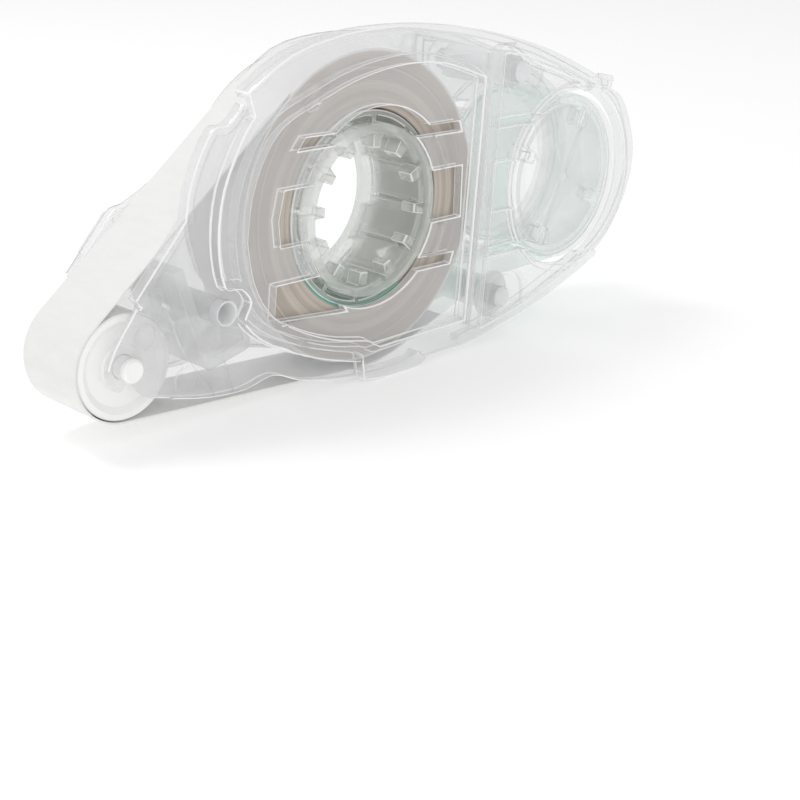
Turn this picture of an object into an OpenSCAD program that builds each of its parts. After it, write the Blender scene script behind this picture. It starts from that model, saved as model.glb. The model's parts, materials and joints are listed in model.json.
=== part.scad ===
// Tape refill cartridge: two clear shells, a supply roll on a toothed core,
// a tip roller, a liner that runs round the tip, and a take-up core.
// X runs along the cartridge, with the tip roller at -X. Y is the shaft direction.
// The near shell is at -Y. Z is up. The origin is the middle of the supply core.

/* [Tape] */
// Width of the tape
tape_w = 9.2; // [8:0.1:9.4]
// Thickness of the liner strip with its coating
strip_t = 0.2; // [0.15:0.05:0.25]
// Outer radius of the supply roll
roll_r = 18.0; // [14:0.1:18]

/* [Cores] */
// Length of the supply core, face to face
core_len = 12.2; // [12:0.1:14]
// Radius of the supply core's end rings
core_ring_r = 10.0; // [9.8:0.1:10.3]
// Radius of the supply core's bore
core_bore_r = 8.7; // [8.2:0.1:8.8]
// Number of drive teeth in the supply core's bore
core_teeth = 12; // [6:1:14]
// Radius of the take-up core's near ring
take_ring_r = 10.5; // [10.3:0.1:10.5]
// Radius of the take-up core's bore
take_bore_r = 9.2; // [8.6:0.1:9.3]

/* [Tip] */
// Radius of the tip roller
roller_r = 5.7; // [5:0.1:5.7]
// Radius of the tip roller's axle
axle_r = 1.28; // [1.1:0.02:1.28]

/* [Shells] */
// Wall of the shells' plates
plate_t = 1.2; // [0.8:0.1:1.2]
// Height that the lips stand proud of the plates
lip_rise = 1.3; // [0.8:0.1:1.6]
// Thickness of the lips' skin and walls
skin_t = 0.9; // [0.6:0.1:1]

/* [Hidden] */
round_fn = 96;
cut = 0.05;

// Levels along Y, counted from the middle of the tape
plate_y = core_len / 2;
lip_y = plate_y + lip_rise;
inner_y = plate_y - plate_t;
tail_y = plate_y + 0.45;
tape_y = tape_w / 2;
fit_gap = 0.1;

// Places in the X-Z plane
tip_at = [-33.7, -11.3];
take_at = [34.6, -0.8];
upper_pin_at = [24.3, 13.6];
lower_pin_at = [22.5, -14.4];
bush_at = [-22.5, -7.2];
supply_at = [0, 0];

// Radii along the tape's way
wrap_r = roller_r + 0.15 + strip_t / 2;
feed_r = roll_r + 0.15 + strip_t / 2;
return_r = 18.9 + strip_t / 2;
sleeve_r = 2.1;
sleeve_path_r = sleeve_r + fit_gap + strip_t / 2;
winding_r = 10.7;
winding_path_r = winding_r + 0.15 + strip_t / 2;
barrel_r = 11.3;
barrel_wall_t = 0.7;
take_barrel_r = 9.9;
bush_r = 1.4;
bush_bore_r = 1.1;
bush_rise = 1.2;
roller_recess = 0.5;
outer_turn_t = 0.25;
pin_r = 1.35;
pocket_depth = 0.5;

// Direction in degrees from one place to another, and the distance between them
function heading(a, b) = atan2(b[1] - a[1], b[0] - a[0]);
function gap(a, b) = norm(b - a);
function around(c, r, a) = [c[0] + r * cos(a), c[1] + r * sin(a)];
function arc(c, r, a0, a1, n) = [for (i = [0 : n]) around(c, r, a0 + (a1 - a0) * i / n)];
function reversed(p) = [for (i = [len(p) - 1 : -1 : 0]) p[i]];

// Smooth open curve through the given points
function knot(p, i) = p[max(0, min(len(p) - 1, i))];
function blend(a, b, c, d, t) =
    0.5 * (2 * b + (c - a) * t + (2 * a - 5 * b + 4 * c - d) * t * t
    + (3 * b - a - 3 * c + d) * t * t * t);
function bend(p, n = 3) = concat(
    [for (i = [0 : len(p) - 2], k = [0 : n - 1])
        blend(knot(p, i - 1), p[i], p[i + 1], knot(p, i + 2), k / n)],
    [p[len(p) - 1]]);

// Unit normal to the left of an open curve at point i, and the ribbon of width w on that side
function along(p, i) = let(d = knot(p, i + 1) - knot(p, i - 1)) d / norm(d);
function leftward(p, i) = let(d = along(p, i)) [-d[1], d[0]];
function ribbon(p, w) = concat(p, reversed([for (i = [0 : len(p) - 1]) p[i] + w * leftward(p, i)]));

// Closed outline grown by w on its left side
function turn(p, i) = p[(i + len(p)) % len(p)];
function grown(p, w) = [for (i = [0 : len(p) - 1])
    let(d = turn(p, i + 1) - turn(p, i - 1)) p[i] + w * [-d[1], d[0]] / norm(d)];

// Tangent angles of the tape's straight stretches, as the heading of the stretch
feed_way = heading(tip_at, supply_at) + asin((feed_r - wrap_r) / gap(tip_at, supply_at));
return_way = heading(tip_at, supply_at) - asin((return_r - wrap_r) / gap(tip_at, supply_at));
rise_way = heading(supply_at, lower_pin_at)
    + asin((return_r + sleeve_path_r) / gap(supply_at, lower_pin_at));
winding_way = heading(lower_pin_at, take_at)
    - asin((sleeve_path_r + winding_path_r) / gap(lower_pin_at, take_at));

// Outline of the near shell
top_edge = bend([[-19.4, 15.4], [-13.5, 18.7], [-6, 20.3], [2, 20.6], [10, 20.1], [18.5, 18.7],
                 [28.5, 16], [38.3, 12.1], [41.5, 10.7]]);
tail_edge = bend([[41.8, 10.2], [45.2, 8.3], [47.7, 3.9], [48.5, 0], [47.7, -3.8], [45.9, -7.2],
                  [43.3, -9.9], [40.9, -11.4]]);
lip_end = bend([[40.7, -11.5], [40.4, -12], [39.7, -12.3]]);
bottom_edge = bend([[39.7, -12.3], [36.3, -13.7], [28.4, -16.3], [18.5, -18.4], [15, -18.9]]);
belly_edge = bend([[8.2, -19], [6.6, -19.8], [1.7, -19.9], [-2.2, -19.5]]);
step_edge = bend([[-2.6, -17.1], [-4.6, -16.7], [-10.3, -14.9], [-16.6, -12], [-19.6, -9.6],
                  [-20.1, -8.3], [-19.3, -6.6], [-20.6, -5], [-22.8, -4.4], [-23.6, 0.5],
                  [-22.8, 5.9], [-20.4, 10.6], [-18.6, 12.9]]);
body_outline = concat(top_edge, tail_edge, lip_end, bottom_edge, belly_edge, step_edge);

// Arm and corner of the shells, at plate level
corner_edge = bend([[-19.2, 14.2], [-20.1, 13.2], [-21.4, 12.2], [-23.2, 12], [-25.1, 9.2],
                    [-26.4, 6], [-26.9, 3.2]]);
hook_edge = bend([[-32.5, -4.8], [-35.3, -8.5], [-36.4, -10.8], [-36.3, -12.4], [-35.5, -13.3],
                  [-34.7, -13.1], [-34.4, -12.2]]);
slot_edge = bend([[-33, -12.2], [-33, -13.2], [-32.3, -14.4], [-31, -15], [-28.6, -15.6]]);
arm_bottom = bend([[-28.6, -15.6], [-24, -16.6], [-19, -16.9], [-15.1, -16.2], [-11.2, -17.7],
                   [-6.2, -18.9], [-2.2, -19.5]]);
arm_outline = concat(corner_edge, [[-33.3, -3.9]], hook_edge, slot_edge, arm_bottom,
                     [[-1.7, -19.3]], [for (q = step_edge) q + [0.5, 0.2]]);

// Recessed panel round the supply core, and the tail panel round the take-up core
recess_top = bend([[-19.6, 0], [-18.9, 4.6], [-17, 8.8], [-14.4, 11.5], [-10, 13.3], [-5, 15],
                   [0, 16], [5, 16.3], [10, 15.8], [16.7, 13.7]]);
recess_bottom = bend([[0.3, -15.8], [-0.7, -15.3], [-2, -14.6], [-6, -13.7], [-10, -12.3],
                      [-14, -10.3], [-16.8, -8.1], [-18.8, -4.4], [-19.6, 0]]);
recess_outline = concat(recess_top, [[14.9, -15.6]], recess_bottom);
tail_top = bend([[20.2, 16.2], [24, 15.6], [27.5, 13.9], [34, 11.8], [38.6, 9.4]]);
tail_bottom = bend([[38.6, -11.2], [33, -13.4], [26, -15.7], [18, -17.3]]);
tail_outline = concat(tail_top, [[41.8, 11]], tail_edge, tail_bottom);

// Far shell's outline at plate level
far_top = bend([[-26, 2.6], [-22, 4.6], [-16, 8.6], [-11, 13], [-5, 17.2], [2, 18.4], [10, 18.3],
                [19, 17.8], [28.5, 15.9], [38.3, 12.1], [41.5, 10.7]]);
far_bottom = bend([[39.7, -12.3], [34, -13.4], [27.4, -13.6], [25.4, -15.6], [22.5, -17.2],
                   [19.6, -15.8], [18.4, -13.2], [14.2, -12.4], [9.2, -16.2], [3, -18.4],
                   [-4, -18.2], [-10, -16.9], [-15.1, -16.2]]);
far_arm_bottom = bend([[-28.6, -15.6], [-24, -16.6], [-19, -16.9], [-15.1, -16.2]]);
far_outline = concat([[-28, 2], [-27.5, 2.35], [-26.9, 2.5]], far_top, tail_edge, lip_end, far_bottom,
                     reversed(far_arm_bottom), reversed(slot_edge), reversed(hook_edge),
                     [[-33.3, -3.9]]);

// Solid between two levels along Y, from a flat shape drawn in X and Z
module slab(y0, y1) {
    translate([0, y1, 0]) rotate([90, 0, 0]) linear_extrude(height = y1 - y0) children();
}

// Round bar along Y at a place in X and Z
module bar(at, r, y0, y1) {
    translate([at[0], y1, at[1]]) rotate([90, 0, 0]) cylinder(r = r, h = y1 - y0, $fn = round_fn);
}

module ring(at, r_out, r_in, y0, y1) {
    difference() {
        bar(at, r_out, y0, y1);
        bar(at, r_in, y0 - cut, y1 + cut);
    }
}

// Turned solid about an axis along Y, from a profile of radius and Y
module turned(at, profile) {
    translate([at[0], 0, at[1]]) rotate([90, 0, 0]) rotate_extrude($fn = round_fn)
        polygon([for (q = profile) [q[0], -q[1]]]);
}

// Strip of tape on one side of a straight line, and round part of a circle
module strip(a, b, y = tape_y) {
    side = strip_t / 2 * [-sin(heading(a, b)), cos(heading(a, b))];
    slab(-y, y) polygon([a - side, b - side, b + side, a + side]);
}

module strip_arc(at, r, a0, a1, y = tape_y) {
    steps = max(4, ceil(abs(a1 - a0) / 5));
    slab(-y, y) polygon(concat(arc(at, r + strip_t / 2, a0, a1, steps),
                               arc(at, r - strip_t / 2, a1, a0, steps)));
}

// Rectangle given by its low and high corners
module patch(low, high) {
    translate(low) square(high - low);
}

// The slots that free four spring tongues round a core, and the opening itself
module supply_opening(y0, y1) {
    bar(supply_at, core_ring_r + fit_gap, y0, y1);
    intersection() {
        bar([1, 0.2], 11.6, y0, y1);
        slab(y0, y1) polygon([[-7.3, 8.4], [8.4, 7.6], [10, 13], [-7.3, 13]]);
    }
    intersection() {
        bar(supply_at, 11.2, y0, y1);
        slab(y0, y1) polygon([[-10, -6.1], [-10, -12], [9, -12], [9, -6.9]]);
    }
    slab(y0, y1) polygon([[-10.4, 9.6], [-5.5, 9.5], [-5.5, 8.3], [-11.5, 8.3]]);
    slab(y0, y1) polygon([[-13.4, 4.25], [-8.5, 4.25], [-8.5, -1.95], [-13.9, -1.95], [-14.2, 1]]);
    slab(y0, y1) polygon([[-14.5, -6.1], [-7.5, -6.1], [-4, -11], [-14.8, -10.1]]);
    slab(y0, y1) polygon([[7, 7.6], [14.3, 7.5], [13.9, 8.7], [7, 8.8]]);
    slab(y0, y1) patch([8.5, -2.8], [14.6, 3.35]);
    slab(y0, y1) polygon([[6, -6.9], [13.6, -7.1], [13.1, -8.4], [6, -8.3]]);
}

module take_up_opening(y0, y1) {
    bar(take_at, take_ring_r + fit_gap, y0, y1);
    intersection() {
        bar(take_at, 11.3, y0, y1);
        union() {
            slab(y0, y1) patch([30.4, -15], [50, 15]);
            slab(y0, y1) patch([22, 7.2], [32, 12]);
            slab(y0, y1) patch([22, -13], [32, -7.6]);
        }
    }
    slab(y0, y1) patch([20.4, 7.2], [27.5, 8.3]);
    slab(y0, y1) patch([20, -3.1], [25, 2.9]);
    slab(y0, y1) patch([19.8, -8.7], [27.5, -7.6]);
}

// Thin raised ribs and shallow round marks on a plate's outer face
module face_rib(points, height = 0.25, width = 0.3) {
    slab(-plate_y - height, -plate_y + cut) polygon(ribbon(points, width));
}

module round_mark(at, r, y) {
    ring(at, r, r - 0.18, y - 0.15, y + cut);
}

module arm_ribs() {
    face_rib(bend([[-31.6, -3.7], [-30.5, -3.2], [-29.9, -4.6], [-29.2, -6.9], [-27.6, -10.9],
                   [-25.2, -14.4], [-23.8, -16.3]]));
    face_rib([[-27, 1], [-26, -2.2]]);
    face_rib([[-22.4, -12.9], [-21.2, -16.6]]);
    round_mark([-27.2, -13.7], 1.5, -plate_y);
}

// Tongue ribs that stand on the spring tongues beside the core
module tongue_ribs() {
    face_rib(arc(supply_at, 12.1, 18, 39, 6), 0.5, 0.7);
    face_rib(arc(supply_at, 12.1, -35, -15, 6), 0.5, 0.7);
    face_rib(arc(supply_at, 11.6, 142, 157, 5), 0.4, 0.4);
    face_rib(arc(supply_at, 11.6, 192, 211, 5), 0.4, 0.4);
}

// Raised edge along the arm's upper side, stepped down beside the roller
module arm_rim() {
    slab(-plate_y - 0.3, -inner_y) polygon(ribbon(concat(corner_edge, [[-33.3, -3.9]]), skin_t));
}

// Keyhole that the axle snaps into, and the thinned pocket round the roller
module arm_cuts() {
    bar(tip_at, axle_r + 0.04, -lip_y, 0);
    bar(tip_at, wrap_r + 0.35, -plate_y - cut, -plate_y + pocket_depth);
}

module pocket_mark() {
    round_mark([-32, -8.1], 1.35, -plate_y + pocket_depth);
}

module boss_ring(at, r) {
    ring(at, r, r - 0.6, -tail_y - 0.5, -tail_y + cut);
}

// Walls that join the raised lips to the plates
module lip_walls() {
    slab(-lip_y, -inner_y) polygon(ribbon(reversed(top_edge), skin_t));
    slab(-lip_y, -inner_y) polygon(ribbon(reversed(bottom_edge), skin_t));
    slab(-lip_y, -inner_y) polygon(ribbon(reversed(concat(belly_edge, step_edge)), skin_t));
    slab(-lip_y, -inner_y) polygon(ribbon(concat(tail_bottom, tail_top, [[41.8, 11]]), skin_t));
    difference() {
        slab(-lip_y, -inner_y) polygon(grown(recess_outline, skin_t));
        slab(-lip_y - cut, -inner_y + cut) polygon(recess_outline);
    }
}

module near_cover() {
    color([0.93, 0.96, 0.97, 0.4]) pocket_mark();
    color([0.93, 0.96, 0.97, 0.4]) difference() {
        union() {
            difference() {
                slab(-lip_y, -lip_y + skin_t) polygon(body_outline);
                slab(-lip_y - cut, -inner_y) polygon(recess_outline);
                slab(-lip_y - cut, -inner_y) polygon(tail_outline);
                slab(-lip_y - cut, -lip_y + 0.3) polygon(concat([[17.2, 14.6], [17.1, 16.5],
                    [9.6, 17.6], [8.2, 17.8]], arc([5, 17.1], 3.1, 14, 166, 10), [[5, 17]]));
            }
            lip_walls();
            slab(-plate_y, -inner_y) polygon(recess_outline);
            slab(-plate_y, -inner_y) polygon(arm_outline);
            slab(-tail_y, -tail_y + plate_t) polygon(tail_outline);
            slab(-lip_y, -tail_y + plate_t) polygon(concat([[38.6, -11.2], [40.9, -11.4]],
                lip_end, [[36.3, -13.7], [36.3, -12.2]]));
            arm_rim();
            arm_ribs();
            tongue_ribs();
            ring(take_at, 12.1, 11.3, -tail_y - 0.6, -tail_y + cut);
            intersection() {
                union() {
                    boss_ring(upper_pin_at, 3.4);
                    boss_ring(lower_pin_at, 3.6);
                }
                slab(-lip_y, 0) polygon(tail_outline);
            }
            round_mark([-11, 14.2], 1.6, -plate_y - lip_rise);
            round_mark([-10, -14.1], 1.6, -plate_y);
        }
        arm_cuts();
        supply_opening(-lip_y - cut, 0);
        take_up_opening(-lip_y - cut, 0);
        bar(upper_pin_at, pin_r + 0.03, -lip_y, 0);
        bar(lower_pin_at, pin_r + 0.03, -lip_y, 0);
        bar(bush_at, bush_r + 0.05, -lip_y, 0);
    }
}

// The far shell is smaller above and below, where the tape leaves and enters
module far_cover() {
    color([0.93, 0.96, 0.97, 0.4]) mirror([0, 1, 0]) pocket_mark();
    color([0.93, 0.96, 0.97, 0.4]) mirror([0, 1, 0]) difference() {
        union() {
            slab(-plate_y, -inner_y) polygon(far_outline);
            slab(-plate_y - 0.3, -inner_y) polygon(ribbon([[-28, 2], [-31.4, -1.8]], skin_t));
            ring(supply_at, 16.8, 16, -lip_y, -inner_y);
            slab(-lip_y, -inner_y) polygon(ribbon([[18, -12.6], [20.2, 17.2]], skin_t));
            slab(-lip_y, -inner_y) polygon(ribbon(reversed(bend([[20.2, 17.6], [28.5, 15.9],
                [38.3, 12.1], [41.5, 10.7]])), skin_t));
            slab(-lip_y, -inner_y) polygon(ribbon(reversed(bend([[40.2, -12], [34, -13.4],
                [28, -13.6]])), skin_t));
            arm_ribs();
            tongue_ribs();
            ring(take_at, 12.1, 11.3, -tail_y - 0.6, -plate_y + cut);
            boss_ring(upper_pin_at, 2.6);
            boss_ring(lower_pin_at, 2.4);
            slab(-tail_y, -plate_y + cut) polygon(concat(tail_top, tail_edge,
                [[38.6, -11.2], [28, -12.6], [20, -12.4]]));
        }
        arm_cuts();
        supply_opening(-lip_y - cut, 0);
        take_up_opening(-lip_y - cut, 0);
        bar(upper_pin_at, pin_r + 0.03, -lip_y, 0);
        bar(lower_pin_at, pin_r + 0.03, -lip_y, 0);
        bar(bush_at, bush_r + 0.05, -lip_y, 0);
    }
}

// Pin that ties the two shells together, shouldered between their plates
module cover_pin(at, shoulder) {
    tip_y = tail_y + 0.45;
    color([0.95, 0.95, 0.95]) turned(at, [[0, -tip_y], [pin_r - 0.3, -tip_y], [pin_r, -tip_y + 0.3],
        [pin_r, -inner_y], [shoulder, -inner_y], [shoulder, inner_y], [pin_r, inner_y],
        [pin_r, tip_y - 0.3], [pin_r - 0.3, tip_y], [0, tip_y]]);
}

module upper_cover_pin() {
    cover_pin(upper_pin_at, 2.2);
}

module lower_cover_pin() {
    cover_pin(lower_pin_at, pin_r);
}

module return_guide_sleeve() {
    flange_r = 3;
    bore_r = pin_r + 0.05;
    color([0.9, 0.93, 0.92]) turned(lower_pin_at, [[bore_r, -inner_y + 0.05], [flange_r, -inner_y + 0.05],
        [flange_r, -tape_y - 0.05], [sleeve_r, -tape_y - 0.05], [sleeve_r, tape_y + 0.05],
        [flange_r, tape_y + 0.05], [flange_r, inner_y - 0.05], [bore_r, inner_y - 0.05]]);
}

// Hollow bush that the dispenser's locating pin passes through
module locating_bush() {
    end_y = plate_y + bush_rise;
    color([0.93, 0.95, 0.96]) turned(bush_at, [[bush_bore_r, -end_y + 0.1],
        [bush_bore_r + 0.1, -end_y], [bush_r, -end_y], [bush_r, end_y],
        [bush_bore_r + 0.1, end_y], [bush_bore_r, end_y - 0.1]]);
}

// Frosted block behind the tip: a tilted upright, a foot and a short back wall
module guide_block() {
    upright = [[-27.4, -2.6], [-26.2, -2.2], [-22.3, -12.7], [-18.3, -11.5], [-18.6, -10.5],
               [-17.8, -10.2], [-17.2, -12.2], [-17.6, -12.8], [-22.9, -14.1], [-23.7, -13.4]];
    color([0.88, 0.9, 0.9]) difference() {
        slab(-inner_y + 0.05, inner_y - 0.05) polygon(upright);
        translate([-25.3, 0, -7.6]) rotate([0, 20, 0]) cube([3, 3.6, 5.4], center = true);
    }
}

module roller_axle() {
    end_y = plate_y + 0.2;
    color([0.93, 0.93, 0.92]) turned(tip_at, [[0, -end_y], [axle_r - 0.25, -end_y],
        [axle_r, -end_y + 0.25], [axle_r, end_y - 0.25], [axle_r - 0.25, end_y], [0, end_y]]);
}

module tip_roller() {
    half_w = tape_y - 0.1;
    bore_r = axle_r + 0.06;
    web_y = half_w - roller_recess;
    rim_r = roller_r - 0.7;
    web_r = roller_r - 1.4;
    color([0.95, 0.95, 0.94]) turned(tip_at, [[bore_r, -half_w + 0.3], [2.3, -half_w + 0.3],
        [2.5, -web_y], [web_r, -web_y], [rim_r, -half_w], [roller_r - 0.15, -half_w],
        [roller_r, -half_w + 0.15], [roller_r, half_w - 0.15], [roller_r - 0.15, half_w],
        [rim_r, half_w], [web_r, web_y], [2.5, web_y], [2.3, half_w - 0.3], [bore_r, half_w - 0.3]]);
}

// Drive teeth in a core's bore, and the core's body
module teeth(at, count, first, pitch, root_r, tip_r, width, y0, y1) {
    for (i = [0 : count - 1])
        translate([at[0], 0, at[1]]) rotate([0, -(first + i * pitch), 0])
            slab(y0, y1) polygon([[tip_r, -width * 0.4], [tip_r, width * 0.4],
                                  [root_r, width * 0.5], [root_r, -width * 0.5]]);
}

module supply_core() {
    root_r = core_bore_r + 0.2;
    tube_r = core_bore_r + 0.8;
    pitch = 360 / core_teeth;
    low_step_r = core_bore_r - 0.5;
    color([0.78, 0.82, 0.79, 0.8]) union() {
        turned(supply_at, [[core_bore_r + 0.3, -plate_y], [core_ring_r - 0.2, -plate_y],
            [core_ring_r, -plate_y + 0.2], [core_ring_r, -tape_y + 0.5], [tube_r, -tape_y + 0.5],
            [tube_r, tape_y - 0.5], [core_ring_r, tape_y - 0.5], [core_ring_r, plate_y - 0.2],
            [core_ring_r - 0.2, plate_y], [core_bore_r + 0.3, plate_y], [core_bore_r, plate_y - 0.4],
            [core_bore_r, -plate_y + 0.4]]);
        ring(supply_at, barrel_r, barrel_r - barrel_wall_t, -tape_y - 0.1, tape_y + 0.1);
        teeth(supply_at, core_teeth, -6.5, pitch, barrel_r - 0.3, root_r, 0.6, -tape_y, tape_y);
        teeth(supply_at, core_teeth, -6.5, pitch, root_r, 7.1, 1.4, -plate_y + 0.5, -plate_y + 2.6);
        teeth(supply_at, 3, 143.5, pitch, root_r, low_step_r, 2, plate_y - 1.6, plate_y - 0.5);
        teeth(supply_at, 1, -127, pitch, root_r, 7.5, 0.9, -plate_y + 1, -plate_y + 2);
    }
}

// Start of the tape, which holds it to the supply core
module core_leader() {
    color([0.2, 0.66, 0.55]) intersection() {
        ring(supply_at, barrel_r + strip_t, barrel_r, -tape_y, tape_y);
        slab(-tape_y - cut, tape_y + cut)
            polygon(concat([supply_at], arc(supply_at, barrel_r + 1, 205, 300, 6)));
    }
}

module supply_roll() {
    color([0.75, 0.71, 0.67]) ring(supply_at, roll_r - outer_turn_t, barrel_r + strip_t,
                                   -tape_y, tape_y);
}

module supply_outer_turn() {
    color([0.96, 0.95, 0.92]) ring(supply_at, roll_r, roll_r - outer_turn_t, -tape_y, tape_y);
}

module feed_run() {
    color([0.97, 0.97, 0.96]) strip(around(tip_at, wrap_r, feed_way + 90),
                                    around(supply_at, feed_r, feed_way + 90));
}

module tip_wrap() {
    color([0.97, 0.97, 0.96]) strip_arc(tip_at, wrap_r, feed_way + 90, return_way + 270);
}

// Where the white liner of the return run meets the coloured leader
splice = 0.45;
rise_from = around(supply_at, return_r, rise_way - 90);
rise_to = around(lower_pin_at, sleeve_path_r, rise_way + 90);
splice_at = rise_from + splice * (rise_to - rise_from);

module return_run() {
    color([0.97, 0.97, 0.96]) union() {
        strip(around(tip_at, wrap_r, return_way - 90), around(supply_at, return_r, return_way - 90));
        strip_arc(supply_at, return_r, return_way - 90, rise_way - 90);
        strip(rise_from, splice_at);
    }
}

module leader_run() {
    color([0.35, 0.72, 0.62]) union() {
        strip(splice_at, rise_to);
        strip_arc(lower_pin_at, sleeve_path_r, rise_way + 90, winding_way + 90);
        strip(around(lower_pin_at, sleeve_path_r, winding_way + 90),
              around(take_at, winding_path_r, winding_way - 90));
    }
}

module take_up_core() {
    ring_y = plate_y + 0.2;
    web_y = plate_y - 0.5;
    color([0.93, 0.95, 0.96, 0.5]) union() {
        turned(take_at, [[take_bore_r, -ring_y], [take_ring_r - 0.2, -ring_y],
            [take_ring_r, -ring_y + 0.2], [take_ring_r, -inner_y - 0.1], [take_barrel_r, -inner_y - 0.1],
            [take_barrel_r, inner_y + 0.1], [take_ring_r, inner_y + 0.1], [take_ring_r, ring_y - 0.2],
            [take_ring_r - 0.2, ring_y], [take_bore_r, ring_y]]);
        bar(take_at, take_bore_r + 0.2, -web_y, -web_y + 0.7);
        bar(take_at, 0.7, -web_y - 0.3, -web_y + 0.1);
        teeth(take_at, 4, -27, 90, take_bore_r + 0.2, 6.9, 1.7, -web_y - 0.4, -web_y + 2.2);
        for (a = [-27, 63])
            translate([take_at[0], 0, take_at[1]]) rotate([0, -a, 0])
                slab(-web_y - 0.25, -web_y + 0.1) patch([-7.2, -0.2], [7.2, 0.2]);
    }
}

module take_up_winding() {
    color([0.3, 0.7, 0.6]) ring(take_at, winding_r, take_barrel_r, -tape_y, tape_y);
}

near_cover();
far_cover();
upper_cover_pin();
lower_cover_pin();
return_guide_sleeve();
locating_bush();
guide_block();
roller_axle();
tip_roller();
supply_core();
core_leader();
supply_roll();
supply_outer_turn();
feed_run();
tip_wrap();
return_run();
take_up_core();
take_up_winding();
leader_run();
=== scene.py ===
"""Looks for the tape refill cartridge: clear shells, frosted insides, liner, leader and wound tape."""

import json
import math

import bmesh
import bpy
from mathutils import Matrix, Vector


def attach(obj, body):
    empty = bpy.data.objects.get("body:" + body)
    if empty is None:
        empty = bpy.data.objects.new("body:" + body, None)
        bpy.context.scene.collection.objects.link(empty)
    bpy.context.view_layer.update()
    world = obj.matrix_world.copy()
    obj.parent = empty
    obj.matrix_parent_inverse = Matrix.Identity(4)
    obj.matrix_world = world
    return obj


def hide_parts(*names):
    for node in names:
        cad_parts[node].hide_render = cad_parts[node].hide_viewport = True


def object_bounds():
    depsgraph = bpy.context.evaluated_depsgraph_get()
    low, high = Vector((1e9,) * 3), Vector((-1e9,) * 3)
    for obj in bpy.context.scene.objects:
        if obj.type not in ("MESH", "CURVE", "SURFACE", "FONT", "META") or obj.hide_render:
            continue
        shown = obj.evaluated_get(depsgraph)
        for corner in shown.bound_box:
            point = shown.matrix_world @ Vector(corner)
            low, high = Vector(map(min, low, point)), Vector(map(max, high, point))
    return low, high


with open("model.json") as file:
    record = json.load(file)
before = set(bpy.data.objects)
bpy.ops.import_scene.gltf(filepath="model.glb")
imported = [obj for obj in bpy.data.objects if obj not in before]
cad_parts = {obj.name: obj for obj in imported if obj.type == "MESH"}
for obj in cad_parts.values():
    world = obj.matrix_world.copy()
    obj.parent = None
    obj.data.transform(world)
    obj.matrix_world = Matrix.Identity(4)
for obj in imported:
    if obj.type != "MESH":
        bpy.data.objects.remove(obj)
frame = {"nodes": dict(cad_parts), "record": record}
cad_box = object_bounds()
nodes = frame["nodes"]
MM = 0.001

# Middle part of a noise's values, which is stretched to fill its range
NOISE_LOW = 0.35
NOISE_HIGH = 0.65
# Scales of the noise in the surfaces, per metre
SHELL_GRAIN = 130
PART_GRAIN = 220
FIBRE_GRAIN = 900
# How much finer the variation in gloss is than the one in colour
SKIN_FINER = 5
# Strength and height of the bumps of moulded skin, fibres and wound edges
SKIN_BUMP = (0.02, 0.05 * MM)
FIBRE_BUMP = (0.15, 0.02 * MM)
WOUND_BUMP = (0.5, 0.06 * MM)
# Wound tape: how much of its colour the fine rings give, and how coarse its bands are beside them
RING_WEIGHT = 0.55
BAND_SHARE = 0.12


# ---------------------------------------------------------------- materials
def material(name):
    """A new material with an empty tree, its Principled shader and its output."""
    mat = bpy.data.materials.new(name)
    mat.use_nodes = True
    tree = mat.node_tree
    tree.nodes.clear()
    out = tree.nodes.new("ShaderNodeOutputMaterial")
    shader = tree.nodes.new("ShaderNodeBsdfPrincipled")
    tree.links.new(shader.outputs["BSDF"], out.inputs["Surface"])
    return mat, tree, shader


def coords(tree, scale=(1.0, 1.0, 1.0)):
    """Object coordinates, stretched by scale."""
    source = tree.nodes.new("ShaderNodeTexCoord")
    stretch = tree.nodes.new("ShaderNodeMapping")
    stretch.inputs["Scale"].default_value = scale
    tree.links.new(source.outputs["Object"], stretch.inputs["Vector"])
    return stretch.outputs["Vector"]


def noise(tree, vector, scale, detail, roughness=0.5):
    """Noise through space, from 0 to 1."""
    node = tree.nodes.new("ShaderNodeTexNoise")
    node.inputs["Scale"].default_value = scale
    node.inputs["Detail"].default_value = detail
    node.inputs["Roughness"].default_value = roughness
    tree.links.new(vector, node.inputs["Vector"])
    return node.outputs["Fac"]


def spread(tree, value, low, high):
    """A noise stretched to run from low to high."""
    node = tree.nodes.new("ShaderNodeMapRange")
    node.inputs["From Min"].default_value = NOISE_LOW
    node.inputs["From Max"].default_value = NOISE_HIGH
    node.inputs["To Min"].default_value = low
    node.inputs["To Max"].default_value = high
    tree.links.new(value, node.inputs["Value"])
    return node.outputs["Result"]


def two_colours(tree, value, first, second):
    """A colour between first, where value is 0, and second, where it is 1."""
    node = tree.nodes.new("ShaderNodeMix")
    node.data_type = "RGBA"
    node.inputs["A"].default_value = (*first, 1)
    node.inputs["B"].default_value = (*second, 1)
    tree.links.new(value, node.inputs["Factor"])
    return node.outputs["Result"]


def bump(tree, shader, height, size):
    """Bumps on the shader's surface, where size is their strength and height."""
    strength, distance = size
    node = tree.nodes.new("ShaderNodeBump")
    node.inputs["Strength"].default_value = strength
    node.inputs["Distance"].default_value = distance
    tree.links.new(height, node.inputs["Height"])
    tree.links.new(node.outputs["Normal"], shader.inputs["Normal"])


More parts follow.
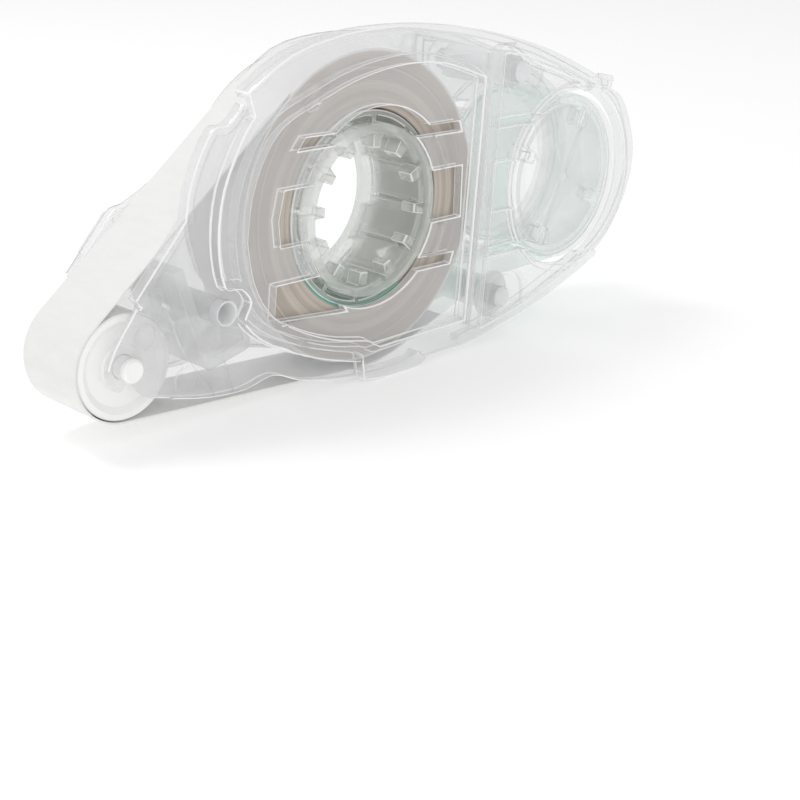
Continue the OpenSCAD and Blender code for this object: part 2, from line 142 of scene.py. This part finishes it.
def moulded(name, light, dark, rough, solid=1.0, grain=PART_GRAIN, gloss=1.0):
    """Moulded plastic: faint flow variation in colour and gloss, and a slightly wavy skin.

    solid is how much of the light it stops, so a low value is clear plastic.
    """
    mat, tree, shader = material(name)
    place = coords(tree)
    flow = noise(tree, place, grain, 4.0)
    tree.links.new(two_colours(tree, spread(tree, flow, 0, 1), light, dark), shader.inputs["Base Color"])
    skin = noise(tree, place, grain * SKIN_FINER, 3.0)
    tree.links.new(spread(tree, skin, rough[0], rough[1]), shader.inputs["Roughness"])
    bump(tree, shader, flow, SKIN_BUMP)
    shader.inputs["Alpha"].default_value = solid
    shader.inputs["Coat Weight"].default_value = gloss
    shader.inputs["Coat Roughness"].default_value = 0.04
    return mat


def film(name, light, dark, rough, solid=1.0):
    """Thin strip: paper or film with faint fibres, stretched across its width."""
    mat, tree, shader = material(name)
    fibres = noise(tree, coords(tree, (1.0, 0.3, 1.0)), FIBRE_GRAIN, 5.0, 0.6)
    tree.links.new(two_colours(tree, spread(tree, fibres, 0, 1), light, dark), shader.inputs["Base Color"])
    tree.links.new(spread(tree, fibres, rough[0], rough[1]), shader.inputs["Roughness"])
    bump(tree, shader, fibres, FIBRE_BUMP)
    shader.inputs["Alpha"].default_value = solid
    return mat


def rings_at(tree, distance, scale, detail, roughness=0.5):
    """Noise that changes only with the distance from the axis."""
    node = tree.nodes.new("ShaderNodeTexNoise")
    node.noise_dimensions = "1D"
    node.inputs["Scale"].default_value = scale
    node.inputs["Detail"].default_value = detail
    node.inputs["Roughness"].default_value = roughness
    tree.links.new(distance, node.inputs["W"])
    return node.outputs["Fac"]


def times(tree, value, factor):
    """The value times a factor."""
    node = tree.nodes.new("ShaderNodeMath")
    node.operation = "MULTIPLY"
    node.inputs[1].default_value = factor
    tree.links.new(value, node.inputs[0])
    return node.outputs["Value"]


def plus(tree, first, second):
    """The sum of two values."""
    node = tree.nodes.new("ShaderNodeMath")
    node.operation = "ADD"
    tree.links.new(first, node.inputs[0])
    tree.links.new(second, node.inputs[1])
    return node.outputs["Value"]


def wound(name, pale, tan, pitch):
    """Edges of wound tape: fine rings about the Y axis in broader bands, uneven in colour and height."""
    mat, tree, shader = material(name)
    source = tree.nodes.new("ShaderNodeTexCoord")
    flat = tree.nodes.new("ShaderNodeVectorMath")
    flat.operation = "MULTIPLY"
    flat.inputs[1].default_value = (1, 0, 1)
    tree.links.new(source.outputs["Object"], flat.inputs[0])
    distance = tree.nodes.new("ShaderNodeVectorMath")
    distance.operation = "LENGTH"
    tree.links.new(flat.outputs["Vector"], distance.inputs[0])
    rings = rings_at(tree, distance.outputs["Value"], 1 / pitch, 3.0, 0.65)
    bands = rings_at(tree, distance.outputs["Value"], BAND_SHARE / pitch, 2.0)
    both = plus(tree, times(tree, rings, RING_WEIGHT), times(tree, bands, 1 - RING_WEIGHT))
    tree.links.new(two_colours(tree, spread(tree, both, 0, 1), tan, pale), shader.inputs["Base Color"])
    tree.links.new(spread(tree, rings, 0.55, 0.75), shader.inputs["Roughness"])
    bump(tree, shader, rings, WOUND_BUMP)
    return mat


clear = moulded("clear_shell", (0.84, 0.842, 0.85), (0.77, 0.773, 0.785), (0.05, 0.1), solid=0.25,
                grain=SHELL_GRAIN)
wall = moulded("clear_wall", (0.94, 0.945, 0.955), (0.88, 0.887, 0.90), (0.06, 0.12), solid=0.5,
               grain=SHELL_GRAIN)
# The edge finish is nearly opaque white: a painted highlight on rounded edges and on the walls round the
# windows
edge = moulded("clear_painted_highlight", (1.0, 1.0, 1.0), (0.98, 0.985, 0.99), (0.08, 0.14), solid=0.95,
               grain=SHELL_GRAIN)
# The corner wall's finish is darker and bluish: painted shade with a painted refraction tint
painted_shade = moulded("painted_shade_wall", (0.55, 0.71, 0.81), (0.48, 0.66, 0.77), (0.06, 0.12), solid=0.6,
               grain=SHELL_GRAIN)
pin = moulded("clear_pin", (0.95, 0.955, 0.96), (0.90, 0.905, 0.915), (0.05, 0.12), solid=0.6)
frosted = moulded("frosted_plastic", (0.93, 0.93, 0.925), (0.88, 0.885, 0.88), (0.3, 0.45), solid=0.42,
                  gloss=0.3)
roller = moulded("roller_plastic", (0.99, 0.99, 0.98), (0.96, 0.96, 0.95), (0.3, 0.42), gloss=0.3)
core = moulded("core_plastic", (0.74, 0.77, 0.72), (0.68, 0.71, 0.66), (0.12, 0.2), solid=0.38)
# The core's edge finish is nearly opaque near-white: a painted highlight on the supply core's rounded
# edges
core_painted_highlight = moulded("core_painted_highlight", (0.96, 0.97, 0.955), (0.92, 0.93, 0.915), (0.12, 0.2), solid=0.8)
take_up = moulded("take_up_plastic", (0.84, 0.842, 0.85), (0.78, 0.783, 0.795), (0.05, 0.1), solid=0.22)
leader = film("leader_film", (0.42, 0.78, 0.66), (0.36, 0.74, 0.60), (0.2, 0.35), solid=0.17)
thick_leader = film("thick_leader", (0.06, 0.45, 0.33), (0.04, 0.38, 0.28), (0.25, 0.4))
liner = film("liner_paper", (0.87, 0.87, 0.86), (0.84, 0.84, 0.83), (0.4, 0.55))
tape_side = wound("tape_side", (0.67, 0.60, 0.525), (0.37, 0.33, 0.285), pitch=0.22 * MM)

SLOTS = {
    "clear_shell": clear,
    "clear_pin": pin,
    "frosted_plastic": frosted,
    "roller_plastic": roller,
    "core_plastic": core,
    "take_up_plastic": take_up,
    "leader_film": leader,
    "liner_paper": liner,
    "tape_side": tape_side,
}
slot_of = {row["node"]: row["material_slot"] for row in frame["record"]["subparts"]}
for name, node in nodes.items():
    node.data.materials.clear()
    node.data.materials.append(SLOTS[slot_of[name]])
nodes["core_leader"].data.materials[0] = thick_leader


# ---------------------------------------------------------------- pieces
def body_of(name):
    """The body that a node belongs to."""
    bodies = frame["record"]["behaviour"]["bodies"]
    return next(body for body, members in bodies.items() if name in members)


def axis_of(joint):
    """Where a joint's axis crosses the X-Z plane."""
    row = next(row for row in frame["record"]["behaviour"]["joints"] if row["name"] == joint)
    return Vector((row["pos_m"][0], 0, row["pos_m"][2]))


# The round walls about the two windows, which take the painted highlight: their middles and how far they
# reach
WINDOWS = ((axis_of("supply_spin"), 15.6 * MM), (axis_of("take_up_spin"), 12.4 * MM))
# The wall with painted shade and a bluish refraction tint lies past this reach from the supply core, to
# the left of this place and above it
CORNER_REACH = 23.9 * MM
CORNER_SIDE = Vector((-19 * MM, 0, 2.8 * MM))
SHELLS = ("near_cover", "far_cover")
# Places of the finishes in a piece's list of materials
PLATE, WALL, PAINTED_HIGHLIGHT, PAINTED_SHADE = range(4)
# Edges that turn more than SHARP are rounded, and faces that meet at less than FLAT are joined
SHARP = math.radians(35)
FLAT = math.radians(1)
SAME_POINT = 0.0005 * MM
ROUND_SEGMENTS = 2
# A plate's face looks along Y at least PLATE_LOOK, and a face with rounded edges is at least
# ROOM roundings wide
PLATE_LOOK = 0.7
ROOM = 2.2


def side_finish(face):
    """Plates are clear, walls hazier, walls round the windows take the painted highlight, and the corner's
    wall takes painted shade with a bluish refraction tint.
    """
    if abs(face.normal.y) > PLATE_LOOK:
        return PLATE
    place = face.calc_center_median()
    near = place.y < 0
    place.y = 0
    if any((place - middle).length < reach for middle, reach in WINDOWS):
        return PAINTED_HIGHLIGHT
    if near and place.length > CORNER_REACH and place.x < CORNER_SIDE.x and place.z > CORNER_SIDE.z:
        return PAINTED_SHADE
    return WALL


def wide(face, width):
    """True if both edges of a long face can be rounded without meeting."""
    return 2 * face.calc_area() / face.calc_perimeter() > ROOM * width


def softened(name, width, finishes):
    """The node's own shape with its sharp edges rounded, which stands for the node.

    finishes are the materials of its plates, its walls, its edges with painted highlight and its walls
    with painted shade.
    """
    piece = nodes[name].copy()
    piece.data = nodes[name].data.copy()
    piece.name = name + "_moulding"
    piece.parent = None
    bpy.context.scene.collection.objects.link(piece)
    shape = bmesh.new()
    shape.from_mesh(piece.data)
    bmesh.ops.remove_doubles(shape, verts=shape.verts, dist=SAME_POINT)
    bmesh.ops.dissolve_limit(shape, angle_limit=FLAT, verts=shape.verts, edges=shape.edges)
    weight = shape.edges.layers.float.new("bevel_weight_edge")
    for side in shape.edges:
        if side.is_manifold and side.calc_face_angle() > SHARP:
            side[weight] = float(all(wide(face, width) for face in side.link_faces))
    for face in shape.faces:
        face.material_index = side_finish(face) if name in SHELLS else PLATE
    bmesh.ops.triangulate(shape, faces=shape.faces[:])
    shape.to_mesh(piece.data)
    shape.free()
    piece.data.materials.clear()
    for finish in finishes:
        piece.data.materials.append(finish)
    rounding = piece.modifiers.new("rounding", "BEVEL")
    rounding.width = width
    rounding.segments = ROUND_SEGMENTS
    rounding.limit_method = "WEIGHT"
    rounding.use_clamp_overlap = False
    # The roundings take the finish with the painted highlight
    rounding.material = PAINTED_HIGHLIGHT
    ready = bpy.context.evaluated_depsgraph_get()
    mesh = bpy.data.meshes.new_from_object(piece.evaluated_get(ready))
    piece.modifiers.clear()
    piece.data = mesh
    mesh.shade_smooth()
    mesh.set_sharp_from_angle(angle=SHARP)
    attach(piece, body_of(name))
    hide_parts(name)


for shell in SHELLS:
    softened(shell, 0.15 * MM, (clear, wall, edge, painted_shade))
# The supply core's roundings take its finish with the painted highlight
softened("supply_core", 0.15 * MM, (core, core, core_painted_highlight, core))
softened("take_up_core", 0.15 * MM, (take_up, wall, edge, wall))
softened("guide_block", 0.2 * MM, (frosted, frosted, pin, frosted))
softened("locating_bush", 0.1 * MM, (pin, pin, edge, pin))


# ---------------------------------------------------------------- stage
FLOOR_SIZE = 30
FLOOR_GAP = 0.02 * MM
lowest = cad_box[0]
bpy.ops.mesh.primitive_plane_add(size=FLOOR_SIZE, location=(0, 0, lowest[2] - FLOOR_GAP))
floor = bpy.context.object
floor.name = "floor"
floor_mat, _, floor_shader = material("floor_white")
floor_shader.inputs["Base Color"].default_value = (0.8, 0.8, 0.8, 1)
floor_shader.inputs["Emission Color"].default_value = (1, 1, 1, 1)
floor_shader.inputs["Emission Strength"].default_value = 0.3
floor_shader.inputs["Roughness"].default_value = 0.7
floor_shader.inputs["Specular IOR Level"].default_value = 0.2
floor.data.materials.append(floor_mat)

world = bpy.data.worlds.new("studio")
bpy.context.scene.world = world
world.use_nodes = True
world.node_tree.nodes["Background"].inputs["Color"].default_value = (1, 1, 1, 1)
world.node_tree.nodes["Background"].inputs["Strength"].default_value = 0.7

LAMP_AIM = Vector((0.01, 0, 0))


def softbox(name, place, size, power):
    """A square lamp that looks at the middle of the cartridge."""
    lamp = bpy.data.lights.new(name, "AREA")
    lamp.shape = "SQUARE"
    lamp.size = size
    lamp.energy = power
    box = bpy.data.objects.new(name, lamp)
    box.location = place
    box.rotation_euler = (LAMP_AIM - Vector(place)).to_track_quat("-Z", "Y").to_euler()
    bpy.context.scene.collection.objects.link(box)


softbox("key", (-0.12, 0.2, 0.42), 0.16, 0.55)
softbox("fill", (-0.28, -0.3, 0.3), 0.4, 0.3)


# ---------------------------------------------------------------- camera
camera = bpy.data.objects.new("camera", bpy.data.cameras.new("camera"))
bpy.context.scene.collection.objects.link(camera)
camera.data.lens = 68.03
camera.data.sensor_width = 36
camera.data.clip_start = 0.01
camera.data.clip_end = 100
# The turn from the part's frame to a view with X right, Y down and Z away: its axis times its angle
turn = Vector((1.828893, -0.745758, 0.551922))
to_view = Matrix.Rotation(turn.length, 3, turn.normalized())
pose = Matrix((to_view[0], -to_view[1], -to_view[2])).transposed().to_4x4()
pose.translation = Vector((-118.3, -124.9, 41.1)) * MM
camera.matrix_world = pose
bpy.context.scene.camera = camera

scene = bpy.context.scene
scene.view_settings.view_transform = "Standard"
scene.cycles.use_denoising = True
scene.cycles.max_bounces = 20
scene.cycles.glossy_bounces = 8
scene.cycles.diffuse_bounces = 4
scene.cycles.transparent_max_bounces = 64
